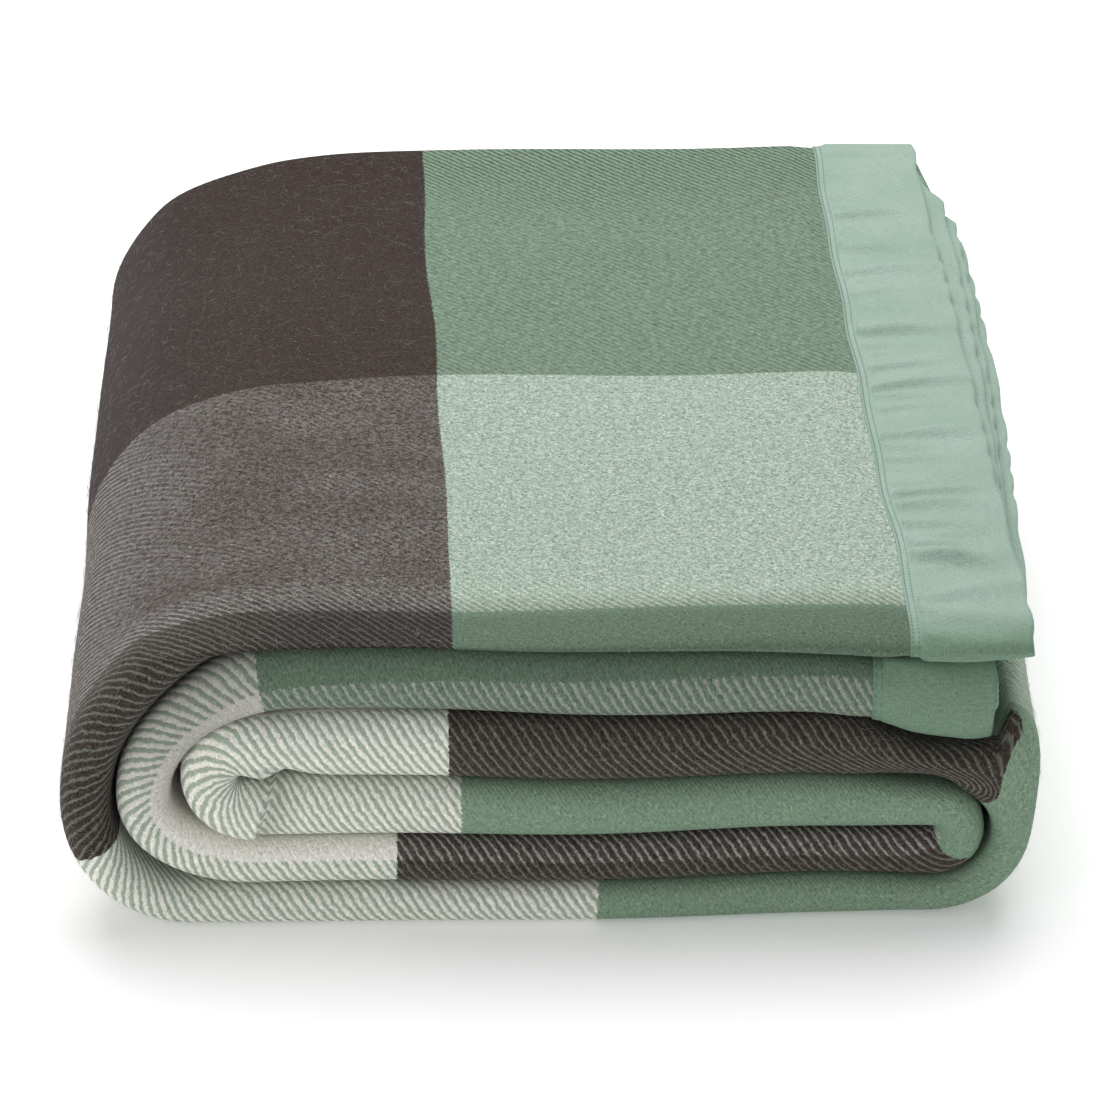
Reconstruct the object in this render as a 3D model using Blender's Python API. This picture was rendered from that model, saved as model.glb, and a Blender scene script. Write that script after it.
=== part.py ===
"""Checked wool camp blanket with a bound edge at each end, folded into a pack of six levels.

The blanket is one rectangle of cloth. Its width is folded in four, which gives a long strip of four
plies: ply d lies lowest, then c, b and a. The strip is then laid back and forth along X, so that the
head end finishes on top and the foot end just under it. Both short ends are wrapped in a folded
ribbon, which two rows of lockstitch hold.

Frame: metres, +Z up. X runs along the strip, the nested front fold of the strip faces -Y, and the
origin is at the middle of the underside.
"""

import math
from collections import namedtuple

import bmesh
import bpy

# ---------------------------------------------------------------- driving dimensions, metres

PACK_WIDTH = 0.431             # X, over the outermost turns
PACK_DEPTH = 0.585             # Y, from the front fold to the back fold
LEVEL_RISES = (0.020, 0.022, 0.026, 0.030, 0.026, 0.019)   # Z taken by each level, lowest first

LEVEL_GAP = 0.0005             # air between two levels
PLY_GAP = 0.0006               # air between two plies of the strip
SWELL_RUN = 0.040              # run over which the strip thins toward a tight or pulled turn
SELVEDGE_INSET_C = 0.014       # free edge of ply c, in from the back fold
SELVEDGE_INSET_D = 0.008       # free edge of ply d, in from the back fold

# The turns. A turn is two quarter ellipses that meet where it is widest, at its belly: the upper
# one is as long along X as the shoulder, the lower one as long as the hip.
HEAD_TURN_STACK = 0.021        # thickness of the strip at the belly of the large left turn
HEAD_BELLY = 0.055             # height of that belly
HEAD_SHOULDER = 0.087
HEAD_HIP = 0.045
LEFT_NEST_GAP = 0.0060         # air between the two large turns on the left
FOOT_TURN_STACK = 0.022        # the turn inside it
FOOT_BELLY = 0.060
FOOT_SHOULDER = 0.0655
FOOT_HIP = 0.050
CORE_NEST_GAP = 0.0080         # air around the tight fold on the left
CORE_EYE = 0.0045              # least inner radius of that fold
OUTER_TURN_STACK = 0.0175      # the outer turn on the right, pulled thin
OUTER_BELLY = 0.045
OUTER_SHOULDER = 0.037
OUTER_HIP = 0.038
RIGHT_NEST_GAP = 0.0030        # air around the tight fold on the right
TUCK_EYE = 0.0023              # least inner radius of that fold

HEAD_INSET = 0.0025            # head end of the strip, in from the right side of the pack
FOOT_INSET = 0.0175            # foot end of the strip, in from the right side of the pack

BINDING_WIDTH = 0.055          # how far the ribbon covers each face of the cloth
RIBBON_THICKNESS = 0.0005
FIT_GAP = 0.0003               # air between pieces that touch
BOUND_TAPER = 0.012            # run over which the cloth swells out past the ribbon

THREAD_RADIUS = 0.00018
ROW_INSETS = (0.0025, 0.0055)  # the two stitch rows, in from the ribbon's folded edge
THREAD_END_INSET = 0.0015      # how far a thread stops short of the free edge

OUTER_FOLD_STEPS = 8
INNER_FOLD_STEPS = 4
BIG_TURN_STEPS = 12
TIGHT_TURN_STEPS = 8
THREAD_SIDES = 6

PLIES = 4
STITCH_ROOM = 2 * (2 * THREAD_RADIUS + FIT_GAP) + FIT_GAP    # air between two bound plies

Station = namedtuple("Station", "x z heading stack cloth")
Ribpoint = namedtuple("Ribpoint", "y n normal_y normal_n")
Turn = namedtuple("Turn", "side upper lower reach belly shoulder hip ends stack steps")


# ---------------------------------------------------------------- the strip's thickness

def level_stack(level):
    """Thickness of the four plies where they lie in a level."""
    return LEVEL_RISES[level] - LEVEL_GAP


def level_middle(level):
    """Height of the strip's middle in a level; the lowest level rests on z = 0."""
    return sum(LEVEL_RISES[:level]) + level_stack(level) / 2


def ply_pitch(stack):
    """Distance between the middles of two plies, in a stack of four with three gaps."""
    return (stack + PLY_GAP) / PLIES


def loose_half(stack):
    """Half the thickness of one free ply."""
    return (ply_pitch(stack) - PLY_GAP) / 2


def ribbon_half(stack):
    """Half the thickness of one bound ply, over the ribbon."""
    return (ply_pitch(stack) - STITCH_ROOM) / 2


def bound_half(stack):
    """Half the thickness of the cloth that is pressed inside the ribbon."""
    return ribbon_half(stack) - RIBBON_THICKNESS - FIT_GAP


# ---------------------------------------------------------------- the strip's route in the XZ plane

def loose_turn(side, upper, lower, face, belly, shoulder, hip, stack):
    """A large turn that takes the strip over at its full thickness from both levels."""
    ends = (level_stack(upper), level_stack(lower))
    return Turn(side, upper, lower, face - stack / 2, belly, shoulder, hip, ends, stack, BIG_TURN_STEPS)


def pulled_turn(side, upper, lower, face, belly, shoulder, hip, stack):
    """A turn in which the strip is equally thin all the way round."""
    return Turn(side, upper, lower, face - stack / 2, belly, shoulder, hip, (stack, stack), stack,
                BIG_TURN_STEPS)


def tight_turn(side, upper, lower, face, eye):
    """A half circle that folds the strip onto itself and leaves an open eye."""
    radius = (level_middle(upper) - level_middle(lower)) / 2
    belly = (level_middle(upper) + level_middle(lower)) / 2
    stack = 2 * (radius - eye)
    return Turn(side, upper, lower, face - stack / 2, belly, radius, radius, (stack, stack), stack,
                TIGHT_TURN_STEPS)


def route_turns():
    """The five turns in the order in which the strip meets them, from the head end."""
    side = PACK_WIDTH / 2
    foot_face = side - HEAD_TURN_STACK - LEFT_NEST_GAP
    core_face = foot_face - FOOT_TURN_STACK - CORE_NEST_GAP
    tuck_face = side - OUTER_TURN_STACK - RIGHT_NEST_GAP
    head = loose_turn(-1, 5, 0, side, HEAD_BELLY, HEAD_SHOULDER, HEAD_HIP, HEAD_TURN_STACK)
    outer = pulled_turn(1, 3, 0, side, OUTER_BELLY, OUTER_SHOULDER, OUTER_HIP, OUTER_TURN_STACK)
    core = tight_turn(-1, 3, 2, core_face, CORE_EYE)
    tuck = tight_turn(1, 2, 1, tuck_face, TUCK_EYE)
    foot = loose_turn(-1, 4, 1, foot_face, FOOT_BELLY, FOOT_SHOULDER, FOOT_HIP, FOOT_TURN_STACK)
    return [head, outer, core, tuck, foot]


LEVEL_ORDER = (5, 0, 3, 2, 1, 4)        # the levels that the strip passes, from the head end
TURN_GOES_DOWN = (True, False, True, True, False)   # whether it enters each turn at its top


def turn_station(turn, angle, goes_down):
    """The strip at an angle round a turn, from 0 at the top to pi at the bottom.

    Each half follows an ellipse about the belly. The heading is the direction of travel.
    """
    over = angle < math.pi / 2
    length = turn.shoulder if over else turn.hip
    tall = abs(level_middle(turn.upper if over else turn.lower) - turn.belly)
    x = turn.side * (turn.reach - length * (1 - math.sin(angle)))
    z = turn.belly + tall * math.cos(angle)
    way = 1 if goes_down else -1
    heading = math.atan2(-way * tall * math.sin(angle), way * turn.side * length * math.cos(angle))
    ends = turn.ends[0] if over else turn.ends[1]
    stack = ends + (turn.stack - ends) * math.sin(angle)
    return Station(x, z, heading, stack, loose_half(stack))


def turn_stations(turn, goes_down):
    """Stations of a whole turn, in the order in which the strip meets them."""
    angles = [math.pi * step / turn.steps for step in range(turn.steps + 1)]
    stations = [turn_station(turn, angle, goes_down) for angle in angles]
    return stations if goes_down else stations[::-1]


def swell_stations(start, end, level):
    """Stations inside the run from one turn to the next, where the strip swells and thins."""
    way = 1 if end.x > start.x else -1
    places = (start.x + way * SWELL_RUN, end.x - way * SWELL_RUN)
    stack = level_stack(level)
    return [Station(x, level_middle(level), start.heading, stack, loose_half(stack)) for x in places]


def bound_stations(level, end, heading, way):
    """Stations at a bound end, from the cloth's edge to where it has swelled out again."""
    stack = level_stack(level)
    z = level_middle(level)
    edge = end + way * (RIBBON_THICKNESS + FIT_GAP)
    rim = end + way * BINDING_WIDTH
    free = rim + way * BOUND_TAPER
    return [Station(edge, z, heading, stack, bound_half(stack)),
            Station(rim, z, heading, stack, bound_half(stack)),
            Station(free, z, heading, stack, loose_half(stack))]


def strip_stations():
    """Every station of the strip, from the head end to the foot end."""
    half = PACK_WIDTH / 2
    stations = bound_stations(LEVEL_ORDER[0], half - HEAD_INSET, math.pi, -1)
    for order, turn in enumerate(route_turns()):
        bend = turn_stations(turn, TURN_GOES_DOWN[order])
        if order > 0:
            stations += swell_stations(stations[-1], bend[0], LEVEL_ORDER[order])
        stations += bend
    return stations + bound_stations(LEVEL_ORDER[-1], half - FOOT_INSET, 0.0, -1)[::-1]


# ---------------------------------------------------------------- the strip's section, folded in four

def arc(y, n, radius, start, end, steps, way, facing):
    """Points of a fold: ``way`` is the side that it bulges to, ``facing`` turns the normal."""
    points = []
    for step in range(steps + 1):
        angle = start + (end - start) * step / steps
        side_y = way * math.cos(angle)
        side_n = math.sin(angle)
        points.append(Ribpoint(y + radius * side_y, n + radius * side_n,
                               facing * side_y, facing * side_n))
    return points


def ply_route(stack, overhang):
    """Middle line of the cloth across its width, from the free edge of ply d to that of ply c."""
    quarter = math.pi / 2
    back = PACK_DEPTH / 2
    pitch = ply_pitch(stack)
    inner = pitch / 2
    outer = inner + pitch
    front_y = -back + stack / 2
    fold_y = back - inner - loose_half(stack)
    route = [Ribpoint(back - SELVEDGE_INSET_D + overhang, -outer, 0, -1)]
    route += arc(front_y, 0, outer, -quarter, quarter, OUTER_FOLD_STEPS, -1, 1)
    route += arc(fold_y, pitch, inner, quarter, -quarter, INNER_FOLD_STEPS, 1, 1)
    route += arc(front_y, 0, inner, quarter, -quarter, INNER_FOLD_STEPS, -1, -1)
    route.append(Ribpoint(back - SELVEDGE_INSET_C + overhang, -inner, 0, 1))
    return route


def faces_of_route(stack, half, overhang=0.0):
    """The route's two faces as lists of (y, n): the face that ends up outermost, and the other."""
    route = ply_route(stack, overhang)
    outside = [(p.y + half * p.normal_y, p.n + half * p.normal_n) for p in route]
    inside = [(p.y - half * p.normal_y, p.n - half * p.normal_n) for p in route]
    return outside, inside


def place(station, y, n):
    """World position of a section point; ply a lies to the right of the strip's heading."""
    return (station.x + n * math.sin(station.heading), y, station.z - n * math.cos(station.heading))


def section_loop(bm, station, half, overhang=0.0):
    """One closed ring of vertices around the folded cloth at a station."""
    outside, inside = faces_of_route(station.stack, half, overhang)
    return [bm.verts.new(place(station, y, n)) for y, n in outside + inside[::-1]]


def join_loops(bm, first, second):
    """Quads between two rings with the same number of vertices."""
    count = len(first)
    for index in range(count):
        after = (index + 1) % count
        bm.faces.new((first[index], first[after], second[after], second[index]))


def cap_loop(bm, loop):
    """Quads across the ribbon-shaped end of a ring, from one face of the cloth to the other."""
    count = len(loop)
    for index in range(count // 2 - 1):
        across = count - 1 - index
        bm.faces.new((loop[index], loop[index + 1], loop[across - 1], loop[across]))


# ---------------------------------------------------------------- objects and materials

def make_material(name, colour, roughness):
    """A plain Principled material; the colour is linear RGB."""
    material = bpy.data.materials.new(name)
    material.use_nodes = True
    shader = material.node_tree.nodes["Principled BSDF"]
    shader.inputs["Base Color"].default_value = (*colour, 1)
    shader.inputs["Roughness"].default_value = roughness
    shader.inputs["Metallic"].default_value = 0
    return material


def finish_object(bm, name, material):
    """Turn a closed bmesh into a named object with its faces pointing out."""
    bmesh.ops.recalc_face_normals(bm, faces=bm.faces)
    mesh = bpy.data.meshes.new(name)
    bm.to_mesh(mesh)
    bm.free()
    mesh.materials.append(material)
    mesh.shade_smooth()
    mesh.set_sharp_from_angle(angle=math.radians(40))
    item = bpy.data.objects.new(name, mesh)
    bpy.context.scene.collection.objects.link(item)
    return item


def make_cloth(material):
    """The wool cloth: one closed skin around the folded section, swept along the strip's route."""
    bm = bmesh.new()
    loops = [section_loop(bm, station, station.cloth) for station in strip_stations()]
    for first, second in zip(loops, loops[1:]):
        join_loops(bm, first, second)
    cap_loop(bm, loops[0])
    cap_loop(bm, loops[-1])
    return finish_object(bm, "wool_cloth", material)


def end_station(level, end, heading, depth):
    """A station at a bound end, ``depth`` in from the outer edge of the ribbon."""
    return Station(end - depth, level_middle(level), heading, level_stack(level), 0)


def make_binding(name, level, end, heading, material):
    """The ribbon: a sock over the folded end, closed at its outer edge and open toward the cloth."""
    bm = bmesh.new()
    outer_half = ribbon_half(level_stack(level))
    inner_half = outer_half - RIBBON_THICKNESS
    wrap = FIT_GAP + RIBBON_THICKNESS
    closed = end_station(level, end, heading, 0)
    lining = end_station(level, end, heading, RIBBON_THICKNESS)
    rim = end_station(level, end, heading, BINDING_WIDTH)
    outer_end = section_loop(bm, closed, outer_half, wrap)
    outer_rim = section_loop(bm, rim, outer_half, wrap)
    inner_rim = section_loop(bm, rim, inner_half, FIT_GAP)
    inner_end = section_loop(bm, lining, inner_half, FIT_GAP)
    join_loops(bm, outer_end, outer_rim)
    join_loops(bm, outer_rim, inner_rim)
    join_loops(bm, inner_rim, inner_end)
    cap_loop(bm, outer_end)
    cap_loop(bm, inner_end)
    return finish_object(bm, name, material)


def make_thread(name, level, end, heading, row_inset, face, material):
    """One thread of a stitch row, laid along a face of the ribbon through all four plies."""
    bm = bmesh.new()
    stack = level_stack(level)
    lift = face * (ribbon_half(stack) + FIT_GAP + THREAD_RADIUS)
    station = end_station(level, end, heading, BINDING_WIDTH - row_inset)
    rings = []
    for point in ply_route(stack, -THREAD_END_INSET):
        ring = []
        for side in range(THREAD_SIDES):
            angle = 2 * math.pi * side / THREAD_SIDES
            away = lift + THREAD_RADIUS * math.sin(angle)
            x, y, z = place(station, point.y + away * point.normal_y, point.n + away * point.normal_n)
            ring.append(bm.verts.new((x + THREAD_RADIUS * math.cos(angle), y, z)))
        rings.append(ring)
    for first, second in zip(rings, rings[1:]):
        join_loops(bm, first, second)
    bm.faces.new(rings[0])
    bm.faces.new(rings[-1])
    return finish_object(bm, name, material)


def clear_scene():
    for item in list(bpy.data.objects):
        bpy.data.objects.remove(item, do_unlink=True)


def build_blanket():
    clear_scene()
    wool = make_material("brushed_wool", (0.16, 0.22, 0.16), 0.95)
    ribbon = make_material("cotton_sateen", (0.36, 0.50, 0.41), 0.55)
    thread = make_material("polyester_thread", (0.13, 0.21, 0.16), 0.50)
    make_cloth(wool)
    ends = (("head", LEVEL_ORDER[0], PACK_WIDTH / 2 - HEAD_INSET, math.pi),
            ("foot", LEVEL_ORDER[-1], PACK_WIDTH / 2 - FOOT_INSET, 0.0))
    for end_name, level, end, heading in ends:
        make_binding(f"{end_name}_binding", level, end, heading, ribbon)
        for row, row_inset in enumerate(ROW_INSETS, start=1):
            for thread_name, face in (("needle_thread", 1), ("bobbin_thread", -1)):
                name = f"{end_name}_{thread_name}_row_{row}"
                make_thread(name, level, end, heading, row_inset, face, thread)


build_blanket()
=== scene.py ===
# %% [markdown]
# # A checked wool camp blanket, folded into a pack
#
# The blanket is one rectangle of brushed twill. Its width is folded in four, which gives a long
# strip with a rounded fold at the front. The strip is then laid back and forth in six levels, with
# large open turns on the left and tighter ones on the right. Both short ends are bound in ribbon.
#
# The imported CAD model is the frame. Every soft piece below takes the place of one CAD node and
# follows the same route, so the blanket could still be unfolded on paper.

import functools
import math

import bpy
import numpy as np
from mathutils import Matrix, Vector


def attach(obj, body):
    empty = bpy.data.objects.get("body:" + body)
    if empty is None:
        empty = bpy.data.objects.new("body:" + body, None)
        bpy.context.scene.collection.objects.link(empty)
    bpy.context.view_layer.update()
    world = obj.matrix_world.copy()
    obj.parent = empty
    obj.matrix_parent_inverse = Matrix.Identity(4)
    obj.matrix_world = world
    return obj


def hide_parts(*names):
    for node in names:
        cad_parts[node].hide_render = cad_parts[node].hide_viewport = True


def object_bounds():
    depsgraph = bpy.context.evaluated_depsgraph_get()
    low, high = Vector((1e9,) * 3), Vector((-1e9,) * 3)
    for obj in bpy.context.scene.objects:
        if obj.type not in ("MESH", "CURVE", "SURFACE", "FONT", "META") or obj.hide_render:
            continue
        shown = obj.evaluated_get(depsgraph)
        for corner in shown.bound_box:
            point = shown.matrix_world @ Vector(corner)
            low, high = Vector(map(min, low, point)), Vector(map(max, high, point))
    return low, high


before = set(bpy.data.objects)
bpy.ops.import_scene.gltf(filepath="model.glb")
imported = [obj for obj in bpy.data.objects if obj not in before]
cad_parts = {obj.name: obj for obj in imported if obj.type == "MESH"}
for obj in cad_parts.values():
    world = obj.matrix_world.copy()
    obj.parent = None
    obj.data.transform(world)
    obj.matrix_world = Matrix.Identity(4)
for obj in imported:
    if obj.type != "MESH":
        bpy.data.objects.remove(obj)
cad_low, cad_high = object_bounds()
print("nodes:", ", ".join(sorted(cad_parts)))
print("pack, mm:", [round(1000 * (b - a), 1) for a, b in zip(cad_low, cad_high)])

# %% [markdown]
# ## Camera
#
# A long lens from two and a half metres keeps the pack's edges nearly parallel, as a catalogue
# shot does. The camera looks about 26 degrees down, so the top and the front fold both show.

# %% Camera
CAMERA_PLACE = (-0.0728, -2.5163, 1.2525)
CAMERA_DOWN = 25.6
CAMERA_YAW = -1.889
LENS_LENGTH = 186.7

lens = bpy.data.cameras.new("studio_camera")
lens.sensor_width = 36.0
lens.lens = LENS_LENGTH
lens.clip_start = 0.05
lens.clip_end = 40.0
camera = bpy.data.objects.new("studio_camera", lens)
camera.location = CAMERA_PLACE
camera.rotation_euler = (math.radians(90 - CAMERA_DOWN), 0, math.radians(CAMERA_YAW))
bpy.context.scene.collection.objects.link(camera)
bpy.context.scene.camera = camera
print("lens, mm:", lens.lens)

# %% [markdown]
# ## The strip's route
#
# Seen from the front, the strip is a line that winds to and fro. It could be drawn as a Bezier
# curve, but the CAD model already says where it runs, so the same dimensions are used again here:
# six straight levels, joined by turns. A turn is two quarter ellipses that meet at its widest
# point. The line is worked out very finely, and then thinned to the stations the mesh needs.

# %% Dimensions shared with the CAD model, metres
PACK_WIDTH = 0.431
PACK_DEPTH = 0.585
LEVEL_RISES = np.array([0.020, 0.022, 0.026, 0.030, 0.026, 0.019])
LEVEL_GAP = 0.0005
PLY_GAP = 0.0006
SWELL_RUN = 0.040
SELVEDGE_INSET_C = 0.014
SELVEDGE_INSET_D = 0.008
OUTER_TURN_STACK = 0.0175
RIGHT_NEST_GAP = 0.0030
HEAD_INSET = 0.0025
FOOT_INSET = 0.0175
BINDING_WIDTH = 0.055
RIBBON_THICKNESS = 0.0005
FIT_GAP = 0.0003
BOUND_TAPER = 0.012
THREAD_RADIUS = 0.00018
ROW_INSETS = (0.0011, 0.0036)
PLIES = 4
STITCH_ROOM = 2 * (2 * THREAD_RADIUS + FIT_GAP) + FIT_GAP

# The soft cloth swells into the air that the CAD model keeps inside its turns.
HEAD_TURN_STACK = 0.0225
LEFT_NEST_GAP = 0.0022
FOOT_TURN_STACK = 0.0235
CORE_NEST_GAP = 0.0045
CORE_EYE = 0.0014
TUCK_EYE = 0.0009

LEVEL_STACKS = LEVEL_RISES - LEVEL_GAP
LEVEL_MIDDLES = np.cumsum(LEVEL_RISES) - LEVEL_RISES + LEVEL_STACKS / 2
print("level middles, mm:", np.round(1000 * LEVEL_MIDDLES, 2))


# %% Small helpers
def ease(value):
    """Smooth step: 0 below 0, 1 above 1, and 3t^2 - 2t^3 between."""
    t = np.clip(value, 0, 1)
    return t * t * (3 - 2 * t)


def ply_pitch(stack):
    """Distance between the middles of two plies: the stack and one more gap, shared by four."""
    return (stack + PLY_GAP) / PLIES


def loose_half(stack):
    """Half the thickness of a free ply: half of what the pitch leaves beside the gap."""
    return (ply_pitch(stack) - PLY_GAP) / 2


def ribbon_half(stack):
    """Half the thickness of a bound ply, over its ribbon."""
    return (ply_pitch(stack) - STITCH_ROOM) / 2


# %% Turns and straight runs
def bend_line(side, upper, lower, face, belly, shoulder, hip, ends, stack, goes_down):
    """Middle line of a turn, as rows of x, z and stack.

    The angle runs from 0 at the top to pi at the bottom: x = side (reach - length (1 - sin)) and
    z = belly + tall cos, with the shoulder as length above the belly and the hip below it.
    """
    angle = np.linspace(0, math.pi, 241)
    over = angle < math.pi / 2
    length = np.where(over, shoulder, hip)
    tall = np.abs(np.where(over, LEVEL_MIDDLES[upper], LEVEL_MIDDLES[lower]) - belly)
    x = side * (face - stack / 2 - length * (1 - np.sin(angle)))
    z = belly + tall * np.cos(angle)
    start = np.where(over, ends[0], ends[1])
    rows = np.column_stack([x, z, start + (stack - start) * np.sin(angle)])
    return rows if goes_down else rows[::-1]


def fold_line(side, upper, lower, face, eye, goes_down):
    """Middle line of a tight half circle that leaves an open eye between its innermost plies."""
    radius = (LEVEL_MIDDLES[upper] - LEVEL_MIDDLES[lower]) / 2
    belly = (LEVEL_MIDDLES[upper] + LEVEL_MIDDLES[lower]) / 2
    stack = 2 * (radius - eye)
    return bend_line(side, upper, lower, face, belly, radius, radius, (stack, stack), stack, goes_down)


def run_line(level, start, end, stack_start, stack_end):
    """A level between two turns: a straight line whose stack eases from each turn's to its own."""
    x = np.linspace(start, end, 400)[1:-1]
    own = LEVEL_STACKS[level]
    stack = own + (stack_start - own) * (1 - ease(np.abs(x - start) / SWELL_RUN))
    stack = stack + (stack_end - own) * (1 - ease(np.abs(x - end) / SWELL_RUN))
    return np.column_stack([x, np.full_like(x, LEVEL_MIDDLES[level]), stack])


half = PACK_WIDTH / 2
foot_face = half - HEAD_TURN_STACK - LEFT_NEST_GAP
core_face = foot_face - FOOT_TURN_STACK - CORE_NEST_GAP
tuck_face = half - OUTER_TURN_STACK - RIGHT_NEST_GAP
own = LEVEL_STACKS
turns = [
    bend_line(-1, 5, 0, half, 0.055, 0.087, 0.045, (own[5], own[0]), HEAD_TURN_STACK, True),
    bend_line(1, 3, 0, half, 0.045, 0.037, 0.038, (OUTER_TURN_STACK,) * 2, OUTER_TURN_STACK, False),
    fold_line(-1, 3, 2, core_face, CORE_EYE, True),
    fold_line(1, 2, 1, tuck_face, TUCK_EYE, True),
    bend_line(-1, 4, 1, foot_face, 0.060, 0.0655, 0.050, (own[4], own[1]), FOOT_TURN_STACK, False),
]
HEAD_END = half - HEAD_INSET
FOOT_END = half - FOOT_INSET
LEVEL_ORDER = (5, 0, 3, 2, 1, 4)

pieces_of_line = []
spacings = []
run_steps = (0.0075, 0.011, 0.010, 0.012, 0.011, 0.009)
turn_steps = (0.0050, 0.0032, 0.0021, 0.0021, 0.0042)
here = (HEAD_END, own[5])
for order, level in enumerate(LEVEL_ORDER):
    last = order == len(turns)
    there = (FOOT_END, own[4]) if last else (turns[order][0, 0], turns[order][0, 2])
    line = run_line(level, here[0], there[0], here[1], there[1])
    pieces_of_line.append(line)
    spacings.append(np.full(len(line), run_steps[order]))
    if not last:
        pieces_of_line.append(turns[order])
        spacings.append(np.full(len(turns[order]), turn_steps[order]))
        here = (turns[order][-1, 0], turns[order][-1, 2])

fine = np.concatenate(pieces_of_line)
fine_step = np.concatenate(spacings)
fine_u = np.concatenate([[0], np.cumsum(np.hypot(*np.diff(fine[:, :2], axis=0).T))])
STRIP_LENGTH = fine_u[-1]
print("strip length, m:", round(STRIP_LENGTH, 3), "from", len(fine), "points")

# %% [markdown]
# ## Stations
#
# The mesh needs short steps where the strip bends and long ones where it is flat. Each point of
# the fine line carries the step it wants; the running sum of 1 / step counts stations, and reading
# that sum backwards at whole numbers gives their places.

# %% Stations along the strip
SAG_STEP = 0.0050
KNUCKLE_STEP = 0.0014
# The right end, where the upper levels sag, and the knuckle of the innermost fold need more.
right_end = (fine[:, 0] > 0.130) & (fine[:, 1] > 0.070)
wanted = np.where(right_end, np.minimum(fine_step, SAG_STEP), fine_step)
by_core = (np.abs(fine[:, 0] + 0.1235) < 0.014) & (np.abs(fine[:, 1] - LEVEL_MIDDLES[2]) < 0.010)
wanted = np.where(by_core, KNUCKLE_STEP, wanted)
EVEN_COUNT = 4868
count = np.concatenate([[0], np.cumsum(np.diff(fine_u) / (0.5 * (wanted[1:] + wanted[:-1])))])
station_u = np.interp(np.linspace(0, count[-1], int(count[-1]) + 1), count, fine_u)


def smooth_line(values, reach):
    """Running mean over ``reach`` metres of the fine line, so that curvature has no jumps."""
    even = np.linspace(0, STRIP_LENGTH, EVEN_COUNT)
    width = max(3, int(reach / (even[1] - even[0])) | 1)
    padded = np.pad(np.interp(even, fine_u, values), width // 2, mode="edge")
    return even, np.convolve(padded, np.ones(width) / width, mode="valid")


even_u, route_stack = smooth_line(fine[:, 2], 0.010)
route_x = smooth_line(fine[:, 0], 0.006)[1]
route_z = smooth_line(fine[:, 1], 0.006)[1]
route_heading = np.unwrap(np.arctan2(np.gradient(route_z), np.gradient(route_x)))
route_heading += math.pi - route_heading[0]

# The plies of the upper right turn stand away from each other, in the room beside the foot end.
SHOULDER_X, SHOULDER_Z = 0.1965, 0.072
SHOULDER_OUT = 0.0150
SHOULDER_IN = 0.0070
SHOULDER_SPREAD = 0.018
elsewhere = np.abs(even_u - 0.93) > 0.12
shoulder_u = even_u[np.argmin(np.hypot(route_x - SHOULDER_X, route_z - SHOULDER_Z) + elsewhere)]
swell = np.exp(-((even_u - shoulder_u) / SHOULDER_SPREAD) ** 2)
shift = 0.5 * (SHOULDER_OUT - SHOULDER_IN) * swell
route_x = route_x + shift * np.sin(route_heading)
route_z = route_z - shift * np.cos(route_heading)
route_stack = route_stack + (SHOULDER_OUT + SHOULDER_IN) * swell
print("stations:", len(station_u), "shoulder at u =", round(shoulder_u, 3))


# %% [markdown]
# ## The folded section
#
# Across the strip the cloth makes a nest: ply d comes forward below, turns up round the front,
# goes back as ply a, turns in as b, comes forward and goes back as c. The front folds are not
# half circles. Under the weight above them they are flattened, and a superellipse draws that with
# one number: an exponent of 2 is an ellipse, and more is boxier.

# %% Section across the strip
FRONT = -PACK_DEPTH / 2
BACK = PACK_DEPTH / 2
PLY_STEPS_OUT = 26
PLY_STEPS_IN = 10
OUTER_FOLD_STEPS = 18
INNER_FOLD_STEPS = 8


def fold_arc(centre_y, centre_n, reach_y, reach_n, power, start, end, steps, way, facing):
    """A fold as part of a superellipse: |y/reach_y|^power + |n/reach_n|^power = 1.

    Returns y, n and the normal for every station, which come from the gradient of that formula.
    """
    angle = np.linspace(start, end, steps + 1)[None, :]
    sine, cosine = np.sin(angle), np.abs(np.cos(angle))
    cosine = np.where(cosine < 1e-6, 0, cosine)
    power = power[:, None]
    unit_y = cosine ** (2 / power)
    unit_n = np.sign(sine) * np.abs(sine) ** (2 / power)
    slope_y = unit_y ** (power - 1) / reach_y[:, None]
    slope_n = np.sign(sine) * np.abs(unit_n) ** (power - 1) / reach_n[:, None]
    size = np.hypot(slope_y, slope_n)
    y = centre_y[:, None] + way * reach_y[:, None] * unit_y
    n = centre_n[:, None] + reach_n[:, None] * unit_n
    return np.stack([y, n, facing * way * slope_y / size, facing * slope_n / size], axis=-1)


def flat_ply(start_y, end_y, n, normal, steps, edge=None):
    """A flat ply between two y, without its last point; ``edge`` packs points near a free edge."""
    share = np.linspace(0, 1, steps + 1)
    if edge == "start":
        share = np.concatenate([[0, 0.0012, 0.003, 0.007, 0.014], share[1:]])
    if edge == "end":
        share = np.concatenate([share[:-1], [0.986, 0.993, 0.997, 0.9988, 1.0]])
    y = start_y[:, None] + (end_y - start_y)[:, None] * share[None, :]
    ones = np.ones_like(y)
    return np.stack([y, n[:, None] * ones, 0 * ones, normal * ones], axis=-1)


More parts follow.
